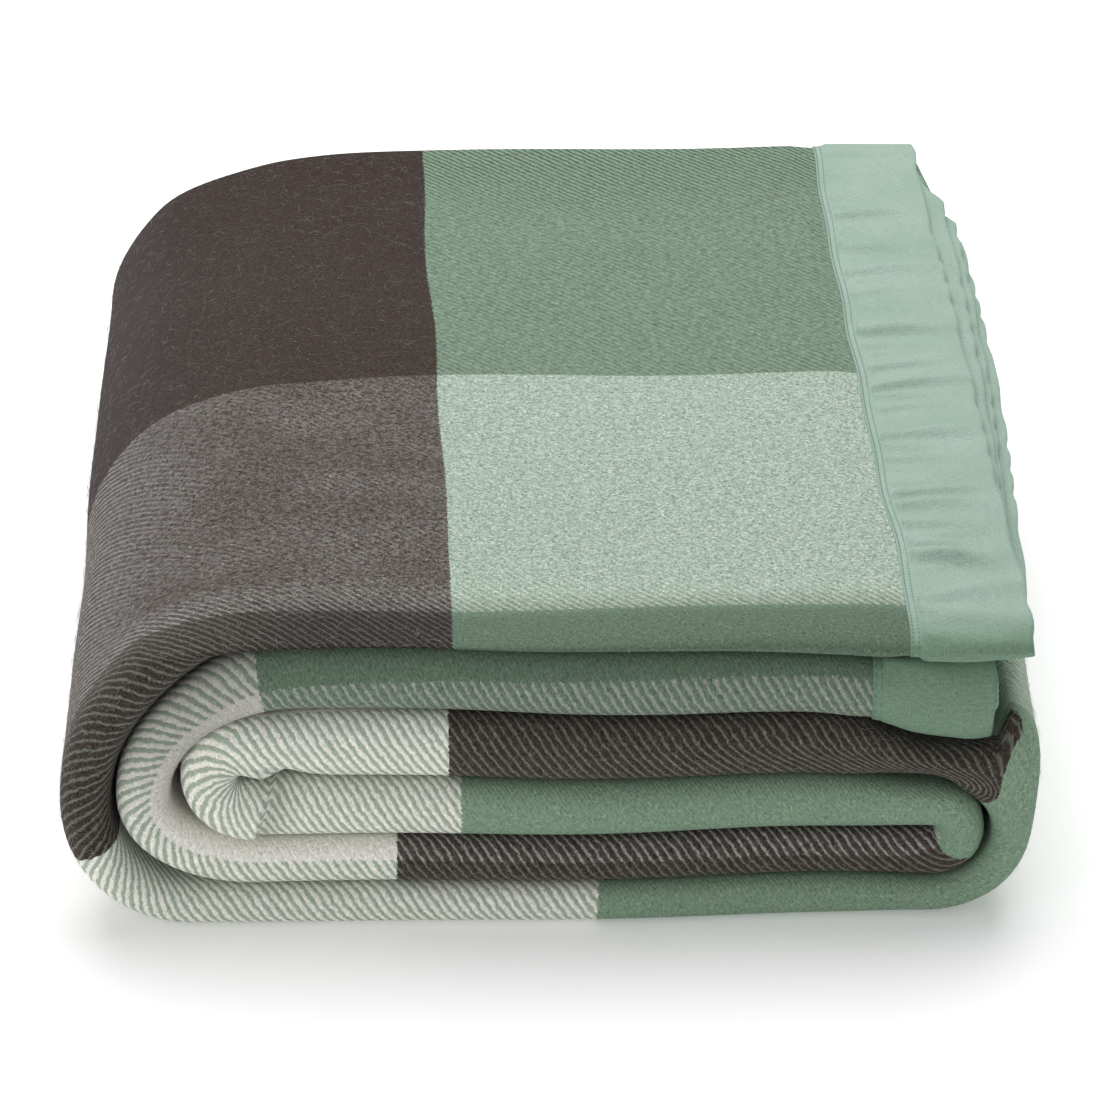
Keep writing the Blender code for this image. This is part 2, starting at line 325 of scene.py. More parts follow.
def section(stack, nose, power):
    """Middle line of the cloth across the strip, for many stations at once.

    The result holds y, n and the normal for every station and point, and the distance v along the
    line from the middle of the outer front fold: below zero on ply d, above zero on ply a and on.
    """
    pitch = ply_pitch(stack)
    inner, outer = pitch / 2, 1.5 * pitch
    nose_in = np.maximum(nose - pitch, inner)
    front_y = FRONT + nose + loose_half(stack)
    fold_y = BACK - inner - loose_half(stack)
    quarter = math.pi / 2
    zero = 0 * stack
    two = 2 + zero
    parts = [
        flat_ply(BACK - SELVEDGE_INSET_D + zero, front_y, -outer, -1, PLY_STEPS_OUT, "start")[:, :-1],
        fold_arc(front_y, zero, nose, outer, power, -quarter, quarter, OUTER_FOLD_STEPS, -1, 1),
        flat_ply(front_y, fold_y, outer, 1, PLY_STEPS_OUT)[:, 1:-1],
        fold_arc(fold_y, pitch, inner, inner, two, quarter, -quarter, INNER_FOLD_STEPS, 1, 1),
        flat_ply(fold_y, front_y, inner, -1, PLY_STEPS_IN)[:, 1:-1],
        fold_arc(front_y, zero, nose_in, inner, power, quarter, -quarter, INNER_FOLD_STEPS, -1, -1),
        flat_ply(front_y, BACK - SELVEDGE_INSET_C + zero, -inner, 1, PLY_STEPS_IN, "end")[:, 1:],
    ]
    line = np.concatenate(parts, axis=1)
    steps = np.hypot(*np.moveaxis(np.diff(line[..., :2], axis=1), -1, 0))
    v = np.concatenate([zero[:, None], np.cumsum(steps, axis=1)], axis=1)
    middle = parts[0].shape[1] + OUTER_FOLD_STEPS // 2
    return line, v - v[:, middle:middle + 1]


# %% [markdown]
# ## How the pack settles
#
# A real pack is not as tidy as its plan. At the front the thick folds push the levels above them
# up, and on the right they sag. The outer turn leans out behind the front, the top level hangs
# over a little, and the innermost left fold squeezes out a knuckle. Every piece goes through the
# same smooth map, so cloth, ribbon and stitches stay together, and plies that touch still touch.

# %% The settling map
LIFT_AT = (0.0, 0.020, 0.042, 0.068, 0.098, 0.124, 0.1425, 0.150)
LIFT_BY = (0.0, 0.0002, 0.0012, 0.0040, 0.0070, 0.0098, 0.0012, 0.0)
OVERHANG = 0.0040
SAG = 0.0135
SIDE_RISE = 0.007
LEAN = 0.0022
SLUMP = 0.0075
INWARD = 0.0042
WAVE_SIZES = (0.0011, 0.0012, 0.0008)
KNUCKLE_OUT = 0.0080
KNUCKLE_IN = 0.0062
wave_dice = np.random.default_rng(11)
wave_heading = wave_dice.uniform(0, 2 * math.pi, 14)
wave_length = wave_dice.uniform(0.09, 0.30, 14)
wave_phase = wave_dice.uniform(0, 2 * math.pi, (3, 14))
wave_lean = wave_dice.uniform(-18, 18, 14)


def slow_waves(points, row):
    """Sum of fourteen sine waves over the pack, each with its own heading, length and phase."""
    along = points[..., 0:1] * np.cos(wave_heading) + points[..., 1:2] * np.sin(wave_heading)
    turned = 2 * math.pi * along / wave_length + wave_phase[row] + points[..., 2:3] * wave_lean
    return np.sin(turned).sum(axis=-1) / math.sqrt(14)


def core_knuckle(x, y, z):
    """Forward push that makes the knuckle of the innermost fold, with a sharp crease on its right.

    A bell curve pushes out what lies left of the crease, another pushes in what lies right of it,
    and the crease leans to the left as it goes down.
    """
    past = x + 0.1195 + 0.35 * (0.0745 - z)
    left = KNUCKLE_OUT * np.exp(-((past / 0.013) ** 2))
    right = -KNUCKLE_IN * np.exp(-((past / 0.012) ** 2))
    over = ease((past + 0.0014) / 0.0028)
    within = ease((z - 0.0425) / 0.005) * (1 - ease((z - 0.0715) / 0.005))
    within = within * (1 - ease((y - FRONT - 0.004) / 0.030))
    return (left * (1 - over) + right * over) * within


def settle(points):
    """Move points of the tidy plan to where they lie in the pack: a sum of small eased shifts."""
    x, y, z = points[..., 0], points[..., 1], points[..., 2]
    # Up, near the front only: less to the right, and tilted along the top level.
    near_front = 1 - ease((y - FRONT) / 0.105)
    to_right = ease((x + 0.05) / 0.12) * np.interp(z, (0.100, 0.120), (1, 0))
    lift = np.interp(z, LIFT_AT, LIFT_BY) * near_front * (1 - 0.75 * to_right)
    tilt = np.clip(0.0034 - 0.052 * x, -0.0045, 0.0058) * ease((x + 0.20) / 0.08)
    lift = lift + tilt * np.interp(z, (0.098, 0.118, 0.126, 0.1425), (0, 1, 1, 0)) * near_front
    # Down at the right end, but up again at the face of the outer turn.
    sag = ease((x - 0.110) / 0.085) * (1 - ease((x - 0.200) / 0.006)) * near_front
    drop = SAG * sag * np.interp(z, (0.060, 0.096, 0.124), (0, 1, 0))
    on_face = ease((x - 0.199) / 0.008) * np.interp(z, (0.050, 0.080, 0.102, 0.120), (0, 1, 1, 0))
    # Forward along the top edge.
    forward = OVERHANG * ease((z - 0.119) / 0.010) * (1 - ease((y - FRONT) / 0.075))
    # The back left corner sinks and draws in.
    at_back = ease((y + 0.15) / 0.35)
    slump = SLUMP * np.exp(-(((x + 0.152) / 0.042) ** 2)) * at_back * ease((z - 0.08) / 0.05)
    inward = INWARD * ease((-x - 0.15) / 0.05) * at_back * np.exp(-(((z - 0.104) / 0.026) ** 2))
    # The right side leans out behind the front.
    lean = LEAN * ease((y - FRONT - 0.012) / 0.12) * (1 - 0.5 * ease((y - 0.05) / 0.2))
    out = lean * ease((x - 0.12) / 0.09) * np.interp(z, (0, 0.02, 0.09, 0.116), (0.2, 1, 1, 0))
    held = ease(z / 0.03)
    wave_x, wave_y, wave_z = (size * slow_waves(points, row) for row, size in enumerate(WAVE_SIZES))
    moved = np.empty_like(points)
    moved[..., 0] = x + out + inward + wave_x * held
    moved[..., 1] = y - forward - core_knuckle(x, y, z) + wave_y
    moved[..., 2] = z + lift - drop + SIDE_RISE * on_face - slump + wave_z * held
    return moved


def place(station_x, station_z, heading, y, n):
    """World position of a section point: ply a lies to the right of the strip's heading."""
    x = station_x + n * np.sin(heading)
    z = station_z - n * np.cos(heading)
    return np.stack([x, y + 0 * x, z], axis=-1)


# %% The ends of the plies
# How far the head end reaches past its plan, at distances across the cloth. The steps come where
# one ply ends behind the next.
HEAD_AT = (-0.575, -0.512, -0.482, -0.30, -0.10, -0.04, -0.012, 0.0, 0.010, 0.05, 0.25,
           0.585, 0.628, 0.656, 0.90, 1.13, 1.19, 1.45, 1.650, 1.680, 1.74)
HEAD_BY = (0.0010, 0.0035, 0.0175, 0.0170, 0.0095, 0.0045, 0.0025, 0.0020, 0.0030, 0.0035, 0.0010,
           -0.0005, 0.0010, 0.0105, 0.0070, 0.0012, 0.0012, 0.0115, 0.0155, 0.0040, 0.0020)
FOOT_AT = (-0.575, 0.0, 0.585, 1.16, 1.74)
FOOT_BY = (-0.002, 0.001, 0.0, 0.003, 0.001)
END_REACH = 0.11


def end_stagger(u, v):
    """How far each ply's bound end reaches past the next: most at the back, little at the front."""
    at_head = 1 - ease(u / END_REACH)
    at_foot = 1 - ease((STRIP_LENGTH - u) / END_REACH)
    return np.interp(v, HEAD_AT, HEAD_BY) * at_head + np.interp(v, FOOT_AT, FOOT_BY) * at_foot


def on_strip(u, y, n, v):
    """World position from the distance along the strip and the section's y and n."""
    x = np.interp(u, even_u, route_x)
    z = np.interp(u, even_u, route_z)
    heading = np.interp(u, even_u, route_heading)
    points = place(x, z, heading, y, n)
    points[..., 0] += end_stagger(u, v)
    return settle(points)


# %% [markdown]
# ## The wool cloth
#
# The cloth is one closed skin: the section's two faces, carried along the route. It could be a
# plane with a Solidify modifier, but here each face is offset, because the cloth is
# thinner inside the ribbons and thins to a soft edge at its selvedges. The flat sheet's own
# coordinates, u along and v across, become the UV map, so the checks go round every fold.

# %% Nose of each level's front fold
NOSE_U = (0.0, 0.33, 0.42, 0.60, 0.95, 1.3, 1.60, 1.68, 2.05, STRIP_LENGTH)
NOSES = (0.024, 0.024, 0.016, 0.0115, 0.0110, 0.0125, 0.0115, 0.0105, 0.0125, 0.0130)
POWERS = (2.05, 2.05, 2.1, 2.5, 2.5, 2.5, 2.4, 2.4, 2.4, 2.5)
# The checks' distance from the front fold wanders along the strip, as the fold is not quite true.
CHECK_SHIFT = (0.009, 0.009, 0.008, 0.012, 0.016, 0.0290, 0.018, 0.0405, 0.0385, 0.0480)

# The cloth stops a little short of each end, inside the ribbon that is folded over it.
END_ROOM = 0.0015
SOFT_EDGE = 0.0035
BACK_FOLD_V = PACK_DEPTH
u_grid = np.clip(station_u, END_ROOM, STRIP_LENGTH - END_ROOM)
stack_grid = np.interp(u_grid, even_u, route_stack)
line, v_grid = section(stack_grid, np.interp(u_grid, NOSE_U, NOSES), np.interp(u_grid, NOSE_U, POWERS))

from_end = np.minimum(u_grid, STRIP_LENGTH - u_grid)
bound = ribbon_half(stack_grid) - RIBBON_THICKNESS - FIT_GAP
free = loose_half(stack_grid)
cloth_half = bound + (free - bound) * ease((from_end - BINDING_WIDTH) / BOUND_TAPER)
edge_left = np.minimum(v_grid - v_grid[:, :1], v_grid[:, -1:] - v_grid)
rounded = np.sqrt(np.clip(1 - (1 - np.clip(edge_left / SOFT_EDGE, 0, 1)) ** 2, 0.02, 1))
thick = cloth_half[:, None] * rounded

u_full = np.repeat(u_grid[:, None], line.shape[1], axis=1)
faces_of_cloth = [
    on_strip(u_full, line[..., 0] + side * thick * line[..., 2],
             line[..., 1] + side * thick * line[..., 3], v_grid)
    for side in (1, -1)
]
print("cloth grid:", line.shape[:2])


# %% Closed skins from two faces
def shell_faces(rows, columns):
    """Quads of a closed shell: one grid, its twin behind it, and the strip round their rim."""
    index = np.arange(rows * columns).reshape(rows, columns)
    twin = index + rows * columns
    front = np.stack([index[:-1, :-1], index[:-1, 1:], index[1:, 1:], index[1:, :-1]], -1)
    behind = np.stack([twin[:-1, :-1], twin[1:, :-1], twin[1:, 1:], twin[:-1, 1:]], -1)
    rim = np.concatenate([index[0, :-1], index[:-1, -1], index[-1, :0:-1], index[:0:-1, 0]])
    after = np.roll(rim, -1)
    edge = np.stack([after, rim, rim + rows * columns, after + rows * columns], -1)
    return np.concatenate([front.reshape(-1, 4), behind.reshape(-1, 4), edge])


def signed_volume(points, quads):
    """Volume inside a mesh of quads: positive when its faces point outwards."""
    a, b, c, d = (points[quads[:, k]] for k in range(4))
    return (np.einsum("ij,ij->i", a, np.cross(b, c)) + np.einsum("ij,ij->i", a, np.cross(c, d))).sum() / 6


def new_piece(name, points, faces, flat, values):
    """A mesh object from its points and arrays of faces, with a UV and named values per point."""
    corners = np.concatenate([part.ravel() for part in faces]).astype(np.int32)
    sides = np.concatenate([np.full(len(part), part.shape[1]) for part in faces])
    mesh = bpy.data.meshes.new(name)
    mesh.vertices.add(len(points))
    mesh.vertices.foreach_set("co", points.astype(np.float32).ravel())
    mesh.loops.add(len(corners))
    mesh.loops.foreach_set("vertex_index", corners)
    mesh.polygons.add(len(sides))
    mesh.polygons.foreach_set("loop_start", (np.cumsum(sides) - sides).astype(np.int32))
    mesh.update(calc_edges=True)
    flat = np.asarray(flat, dtype=np.float32).reshape(-1, 2)
    mesh.uv_layers.new(name="flat_cloth").data.foreach_set("uv", flat[corners].ravel())
    for title, data in values.items():
        held = mesh.attributes.new(title, "FLOAT", "POINT")
        held.data.foreach_set("value", np.asarray(data, dtype=np.float32).ravel())
    piece = bpy.data.objects.new(name, mesh)
    bpy.context.scene.collection.objects.link(piece)
    return piece


def quad_piece(name, points, quads, uv, **values):
    """A smooth closed piece made of quads, turned so that its faces point outwards."""
    points = np.asarray(points, dtype=np.float32).reshape(-1, 3)
    if signed_volume(points.astype(float), quads) < 0:
        quads = quads[:, ::-1]
    piece = new_piece(name, points, [quads], uv, values)
    piece.data.shade_smooth()
    return piece


# %% Make the cloth
check_shift = np.interp(u_grid, NOSE_U, CHECK_SHIFT)[:, None]
# Round the right outer turn the cloth is pulled askew, so its check edge slants away to the back.
askew = np.exp(-(((u_full - 0.97) / 0.09) ** 2)) * (0.055 * ease((v_grid - 0.010) / 0.045)
                                                     - 0.014 * ease((0.003 - v_grid) / 0.012))
# The tucked turn inside it is pulled the same way.
askew = askew - 0.007 * np.exp(-(((u_full - 1.64) / 0.07) ** 2)) * ease((0.006 - v_grid) / 0.014)
askew = askew + 0.005 * ease((v_grid - 0.05) / 0.45) * (1 - ease((u_full - 0.30) / 0.10))
flat_uv = np.stack([u_full - askew, v_grid + check_shift], axis=-1)
# The nap stands highest on the top, and thins toward the front fold and the back fold. The same
# value places a painted sheen, a pale and cool haze, on the top.
on_top = ease((faces_of_cloth[0][..., 2] - 0.075) / 0.070) * ease((v_grid - 0.026) / 0.040)
nap = 0.25 + 0.75 * on_top * (0.1 + 0.9 * ease((BACK_FOLD_V - v_grid - 0.010) / 0.105))


def painted_front_shade_mask(u, v, wide, fading):
    """How much painted shade a place takes at a front fold: 1 on the fronts of the two top levels, else 0.
    """
    top_levels = 1 - ease((u - 0.30) / 0.12) + ease((u - 2.00) / 0.08)
    return top_levels * (1 - ease((np.abs(v - 0.003) - wide) / fading))


# Painted shade for the fronts of the two top levels, carried on the cloth as a value per point.
pressed = painted_front_shade_mask(u_full, v_grid, 0.022, 0.012)
cloth = quad_piece(
    "blanket_cloth",
    np.stack(faces_of_cloth),
    shell_faces(*line.shape[:2]),
    uv=np.stack([flat_uv, flat_uv]),
    nap=np.stack([nap, nap]),
    pressed=np.stack([pressed, pressed]),
)
print("blanket_cloth:", len(cloth.data.polygons), "quads")

# %% [markdown]
# ## The ribbon bindings
#
# A ribbon about 110 mm wide is folded over each end of the blanket and sewn down. The sewing
# draws it in a little, so it puckers: short ridges start at the seam and fade toward the outer
# edge. A cloth simulation could grow such ridges, but they would fall where they like. Here each
# ridge is a narrow bell curve across the seam with its own place, length, width and lean.

# %% Pucker ridges
def pucker_ridges(seed, width):
    """Places and sizes of the ridges along a seam ``width`` metres long."""
    dice = np.random.default_rng(seed)
    gaps = dice.gamma(1.6, 0.0056, 500) + 0.0030
    places = np.cumsum(gaps)
    places = places[places < width]
    count = len(places)
    strength = dice.uniform(0.15, 1.0, count) ** 1.5
    return {
        "at": places,
        "tall": 0.00055 + 0.0030 * strength,
        "wide": 0.0015 + 0.0018 * dice.uniform(0, 1, count) + 0.0016 * strength,
        "reach": 0.016 + 0.046 * strength * dice.uniform(0.5, 1.2, count),
        "lean": dice.normal(0.0, 0.16, count),
        "curve": dice.normal(0.0, 2.2, count),
    }


def pucker_height(ridges, v, depth):
    """Height of the puckers at v along the seam and depth in from it: a sum of bell-shaped ridges.

    Each ridge is exp(-(offset / wide)^2) across itself. Along itself it rises within 3 mm of the
    stitches and falls away past its reach.
    """
    v, depth = v[..., None], depth[..., None]
    middle = ridges["at"] + ridges["lean"] * depth + ridges["curve"] * depth ** 2
    across = np.exp(-(((v - middle) / (ridges["wide"] * (1 + 14 * depth))) ** 2))
    along = ease(depth / 0.0035) * (1 - ease((depth - 0.3 * ridges["reach"]) / ridges["reach"]))
    return (ridges["tall"] * across * along).sum(axis=-1)


# %% Ribbon shape
def ribbon_profile():
    """Loop of the ribbon in depth from its outer edge and side of the cloth.

    It runs from the folded inner edge on face +1 out to the end, round it, and back on face -1.
    Returns the depth, and the side from 1 to -1.
    """
    depth = BINDING_WIDTH - np.array([0, 0.0003, 0.0012, 0.0025, 0.0040, 0.0055, 0.0065, 0.0080, 0.0100,
                                      0.0125, 0.0155, 0.0190, 0.0230, 0.0275, 0.0320, 0.0370, 0.0420,
                                      0.0460, 0.0490, 0.0510, 0.0525])
    side = np.concatenate([[0.60, 0.92], np.ones(len(depth) - 2)])
    turn = np.linspace(0.5 * math.pi, -0.5 * math.pi, 9)[1:-1]
    round_depth = 0.0016 * (1 - np.cos(turn)) + 0.0002
    all_depth = np.concatenate([depth, round_depth, depth[::-1]])
    return all_depth, np.concatenate([side, np.sin(turn), -side[::-1]])


SEAM_WAVE = ((0.0009, 0.31, 0.4), (0.0007, 0.173, 2.1), (0.0005, 0.094, 4.4))


def seam_wander(v):
    """Small sideways wander of the seam: three sine waves in v."""
    return sum(size * np.sin(2 * math.pi * v / length + phase) for size, length, phase in SEAM_WAVE)


def bound_section(level, points_v):
    """The section line of a bound end, read at given v, as y, n and the normal."""
    stack = np.array([LEVEL_STACKS[level]])
    at_level = 0 if level == 5 else -1
    cross, cross_v = section(stack, np.array([NOSES[at_level]]), np.array([POWERS[at_level]]))
    values = [np.interp(points_v, cross_v[0], cross[0, :, k]) for k in range(4)]
    size = np.hypot(values[2], values[3])
    return values[0], values[1], values[2] / size, values[3] / size, (cross_v[0, 0], cross_v[0, -1])


def strip_u(at_head, depth):
    """Distance along the strip of a place that lies ``depth`` in from its bound end."""
    return depth if at_head else STRIP_LENGTH - depth


def ribbon_lift(ridges, v, depth, side, level):
    """Half thickness of the bound ply over its ribbon: seams drawn down, puckers standing up."""
    start = BINDING_WIDTH - depth
    groove = sum(0.00034 * np.exp(-(((start - row) / 0.0007) ** 2)) for row in ROW_INSETS)
    shown = np.where(side > 0, ease((v + 0.035) / 0.03) * ease((0.575 - v) / 0.02), 0.0)
    room = 0.35 + (0.75 if level == 5 else 0.1) * shown
    fluff = pucker_height(ridges, v + 0.6, start - ROW_INSETS[1]) * room
    pillow = 0.0006 * (1 + np.sin(2 * math.pi * v / 0.041 + 2.2 * np.sin(17 * v))) * shown
    pillow = pillow * ease((start - 0.006) / 0.020) * ease(depth / 0.012)
    return ribbon_half(LEVEL_STACKS[level]) + 0.00018 + fluff + pillow - groove


def make_ribbon(name, level, seed):
    """Closed skin of one ribbon: its profile carried across the whole width of the blanket."""
    at_head = level == 5
    ends = bound_section(level, np.zeros(1))[4]
    first, last = ends[0] - FIT_GAP - RIBBON_THICKNESS, ends[1] + FIT_GAP + RIBBON_THICKNESS
    shown = np.arange(-0.040, 0.600, 0.0016)
    before = np.arange(first, -0.040, 0.0036)
    after = np.arange(0.600, last, 0.0052)
    v = np.concatenate([before, shown, after[1:], [last]])
    depth, side = ribbon_profile()
    grid_v, grid_depth = np.meshgrid(v, depth, indexing="ij")
    grid_side = np.broadcast_to(side, grid_v.shape)
    ridges = pucker_ridges(seed, last - first + 0.1)
    y, n, normal_y, normal_n, _ = bound_section(level, np.clip(v, *ends))
    y = y + np.where(v > ends[1], v - ends[1], 0) + np.where(v < ends[0], ends[0] - v, 0)
    skins = []
    for inward in (0.0, 1.0):
        tall = ribbon_lift(ridges, grid_v, grid_depth, grid_side, level) - inward * RIBBON_THICKNESS
        scallop = 0.0011 * np.sin(2 * math.pi * grid_v / 0.043 + 3 * np.sin(grid_v * 31))
        scallop = scallop + 0.05 * pucker_height(ridges, grid_v + 0.6, 0.012 + 0 * grid_v)
        at_edge = 1 - ease(grid_depth / 0.018)
        inner = inward * RIBBON_THICKNESS * (np.abs(grid_side) < 0.999) * (grid_depth < 0.02)
        u = strip_u(at_head, grid_depth + inner + at_edge * scallop
                    + seam_wander(grid_v) * ease(grid_depth / BINDING_WIDTH))
        off = grid_side * tall
        skins.append(on_strip(u, y[:, None] + off * normal_y[:, None],
                              n[:, None] + off * normal_n[:, None], grid_v))
    flat = np.stack([grid_v, grid_depth * np.sign(grid_side + 1e-9)], axis=-1)
    # Painted shade where the ribbon wraps the front of its level.
    pressed = painted_front_shade_mask(strip_u(at_head, grid_depth), grid_v + (0.006 if at_head else -0.010),
                           0.001 if at_head else 0.022, 0.032 if at_head else 0.012)
    piece = quad_piece(name, np.stack(skins), shell_faces(*grid_v.shape), uv=np.stack([flat, flat]),
                       pressed=np.stack([pressed, pressed]))
    print(name + ":", len(piece.data.polygons), "quads,", len(ridges["at"]), "puckers")
    return piece, ridges, last - first


head_ribbon, head_ridges, ribbon_length = make_ribbon("head_ribbon", 5, 5)
foot_ribbon, foot_ridges, _ = make_ribbon("foot_ribbon", 4, 23)

# %% [markdown]
# ## Lockstitches
#
# Two rows of stitches hold each ribbon, and each row has a thread on both faces. A tube along the
# whole row would look like piping, so each stitch is its own small bead of thread: a six-sided
# spindle about 2.2 mm long that dips into the ribbon at both ends.

# %% Stitches
STITCH_PITCH = 0.0027
STITCH_LENGTH = 0.0022
STITCH_THICK = 0.00030


def spindle():
    """One stitch as points in its own length, across and up, and its faces.

    Four rings of six points: the two end rings are nearly closed, the two inner ones are full.
    """
    along = np.array([-0.5, -0.28, 0.28, 0.5])
    girth = np.array([0.35, 1.0, 1.0, 0.35])
    dip = np.array([-0.8, 0.25, 0.25, -0.8])
    angle = np.arange(6) * math.pi / 3
    across = girth[:, None] * np.cos(angle)
    up = girth[:, None] * np.sin(angle) + dip[:, None]
    points = np.stack([np.repeat(along[:, None], 6, 1), across, up], axis=-1).reshape(-1, 3)
    ring = np.arange(6)
    after = (ring + 1) % 6
    walls = [np.stack([ring + 6 * k, ring + 6 * k + 6, after + 6 * k + 6, after + 6 * k], -1)
             for k in range(3)]
    caps = [[0, 1, 2, 3], [0, 3, 4, 5], [21, 20, 19, 18], [23, 22, 21, 18]]
    return points, np.concatenate(walls + [np.array(caps)])


def make_stitches(name, level, ridges, row, side):
    """A row of stitches: the spindle repeated along v and laid on the ribbon's face."""
    shape, quads = spindle()
    ends = bound_section(level, np.zeros(1))[4]
    places = np.arange(ends[0] + 0.004, ends[1] - 0.004, STITCH_PITCH)
    dice = np.random.default_rng(40 + int(10 * row) + level)
    slant = dice.normal(0, 0.10, len(places))[:, None]
    v = places[:, None] + shape[:, 0] * STITCH_LENGTH
    depth = BINDING_WIDTH - ROW_INSETS[row] + shape[:, 1] * STITCH_THICK
    depth = depth + shape[:, 0] * STITCH_LENGTH * slant
    y, n, normal_y, normal_n, _ = bound_section(level, v)
    rest = ribbon_lift(ridges, v, depth, side + 0 * v, level)
    off = side * (rest + 0.00005 + shape[:, 2] * STITCH_THICK * 0.8)
    u = strip_u(level == 5, depth + seam_wander(v) * ease(depth / BINDING_WIDTH))
    points = on_strip(u, y + off * normal_y, n + off * normal_n, v)
    every = quads[None] + (np.arange(len(places)) * len(shape))[:, None, None]
    return quad_piece(name, points, every.reshape(-1, 4), uv=np.stack([v, depth], axis=-1))


stitches = {}
for end_name, level, ridges in (("head", 5, head_ridges), ("foot", 4, foot_ridges)):
    for row in (0, 1):
        for thread_name, side in (("needle_thread", 1), ("bobbin_thread", -1)):
            node = f"{end_name}_{thread_name}_row_{row + 1}"
            stitches[node] = make_stitches(f"stitches_{node}", level, ridges, row, side)
print("stitch rows:", len(stitches), "quads in one:", len(stitches[node].data.polygons))

# %% [markdown]
# ## Raised fibres
#
# Brushing pulls single fibres out of the yarn, and they give the cloth its soft outline. Blender's
# hair could grow them, but hair has no mesh to hand on. Each fibre here is a thin three-sided
# spike, rooted in the cloth, that curls at a few bends, so thousands of them are one light mesh.
# Long ones lie on the top, and short ones stand along the folds.

# %% Fibre shapes
def scatter_on_grid(surface, weight, count, dice):
    """Random places on a grid surface: cells drawn by area times weight, then a point in each."""
    down, right = surface[1:, :-1] - surface[:-1, :-1], surface[:-1, 1:] - surface[:-1, :-1]
    area = np.linalg.norm(np.cross(down, right), axis=-1) * weight[:-1, :-1]
    chosen = dice.choice(area.size, count, p=(area / area.sum()).ravel())
    row, column = np.unravel_index(chosen, area.shape)
    return row, column, dice.random((2, count))


def read_grid(values, row, column, share):
    """Bilinear reading of a grid inside the chosen cells."""
    s, t = (part.reshape((-1,) + (1,) * (values.ndim - 2)) for part in share)
    near = values[row, column] * (1 - t) + values[row, column + 1] * t
    far = values[row + 1, column] * (1 - t) + values[row + 1, column + 1] * t
    return near * (1 - s) + far * s


def grid_normals(surface):
    """Unit normals of a grid surface: the cross product of its two slopes."""
    normal = np.cross(np.gradient(surface, axis=1), np.gradient(surface, axis=0))
    return normal / np.maximum(np.linalg.norm(normal, axis=-1, keepdims=True), 1e-12)


def fibre_mesh(name, surface, outward, weight, count, lengths, bends, seed):
    """A mesh of curled spikes: a triangle at the root and at each bend, and a point at the tip.

    Each fibre lies over the cloth along a path that turns by a random angle at every bend, while it
    stands off the cloth by half a sine wave.
    """
    dice = np.random.default_rng(seed)
    row, column, share = scatter_on_grid(surface, weight, count, dice)
    root = read_grid(surface, row, column, share)
    normal = read_grid(grid_normals(surface), row, column, share) * outward
    flat = read_grid(flat_uv, row, column, share)
    loose = dice.normal(size=(count, 3))
    lying = loose - (loose * normal).sum(1, keepdims=True) * normal
    lying /= np.linalg.norm(lying, axis=1, keepdims=True)
    side = np.cross(normal, lying)
    length = dice.uniform(*lengths, (count, 1, 1))
    rise = dice.uniform(0.04, 0.22, (count, 1, 1))
    curl = np.cumsum(dice.normal(dice.normal(0, 0.45, (count, 1)), 0.30, (count, bends)), axis=1)[..., None]
    steps = (lying[:, None] * np.cos(curl) + side[:, None] * np.sin(curl)) * length / bends
    path = np.concatenate([root[:, None], root[:, None] + np.cumsum(steps, axis=1)], axis=1)
    stand = np.sin(np.linspace(0, 0.9 * math.pi, bends + 1))[:, None] * rise * length - 0.0002 * (
        np.arange(bends + 1) == 0)[:, None]
    path = path + stand * normal[:, None]
    thick = dice.uniform(0.000045, 0.000085, (count, 1, 1, 1)) * np.linspace(1, 0.7, bends)[:, None, None]
    angle = np.arange(3) * 2 * math.pi / 3
    ring = np.cos(angle)[:, None] * side[:, None] + np.sin(angle)[:, None] * normal[:, None]
    points = (path[:, :-1, None] + thick * ring[:, None]).reshape(count, 3 * bends, 3)
    points = np.concatenate([points, path[:, -1:]], axis=1)
    corner, after = np.arange(3), np.array([1, 2, 0])
    low = 3 * np.arange(bends - 1)[:, None]
    quads = np.stack([low + corner, low + after, low + 3 + after, low + 3 + corner], -1).reshape(-1, 4)
    last, tip = 3 * (bends - 1), 3 * bends
    triangles = np.array([[last, last + 1, tip], [last + 1, last + 2, tip], [last + 2, last, tip],
                          [2, 1, 0]])
    first = (np.arange(count) * (3 * bends + 1))[:, None, None]
    faces = [(quads + first).reshape(-1, 4), (triangles + first).reshape(-1, 3)]
    return new_piece(name, points.reshape(-1, 3), faces, np.repeat(flat, 3 * bends + 1, axis=0), {})


# %% Make the fibres
outer_face = faces_of_cloth[0]
not_bound = ease((from_end[:, None] - BINDING_WIDTH) / 0.004)
near_fold = np.exp(-(v_grid / 0.030) ** 2)
# Ply a faces outwards on the top level, the left turn and the outer right turn.
outermost = (u_grid < 0.56) | (np.abs(u_grid - 0.93) < 0.09)
open_side = ((v_grid > 0) & (v_grid < BACK_FOLD_V)) * outermost[:, None]
back_fold = np.exp(-((v_grid - BACK_FOLD_V) / 0.03) ** 2)
above_floor = outer_face[..., 2] > 0.002
top_weight = not_bound * open_side * above_floor
edge_weight = not_bound * (near_fold + 0.5 * back_fold) * above_floor
sample = grid_normals(outer_face)[len(u_grid) // 40, np.argmin(np.abs(v_grid[0] - 0.3))]
OUTWARD = 1.0 if sample[2] > 0 else -1.0
TOP_BENDS, FOLD_BENDS = 4, 2
top_fibres = fibre_mesh("nap_fibres_top", outer_face, OUTWARD, top_weight, count=8800,
                        lengths=(0.0035, 0.0085), bends=TOP_BENDS, seed=3)
fold_fibres = fibre_mesh("nap_fibres_folds", outer_face, OUTWARD, edge_weight, count=19500,
                         lengths=(0.0010, 0.0026), bends=FOLD_BENDS, seed=4)
for fibres, bends in ((top_fibres, TOP_BENDS), (fold_fibres, FOLD_BENDS)):
    print(fibres.name + ":", len(fibres.data.polygons) // (3 * bends + 1), "fibres")
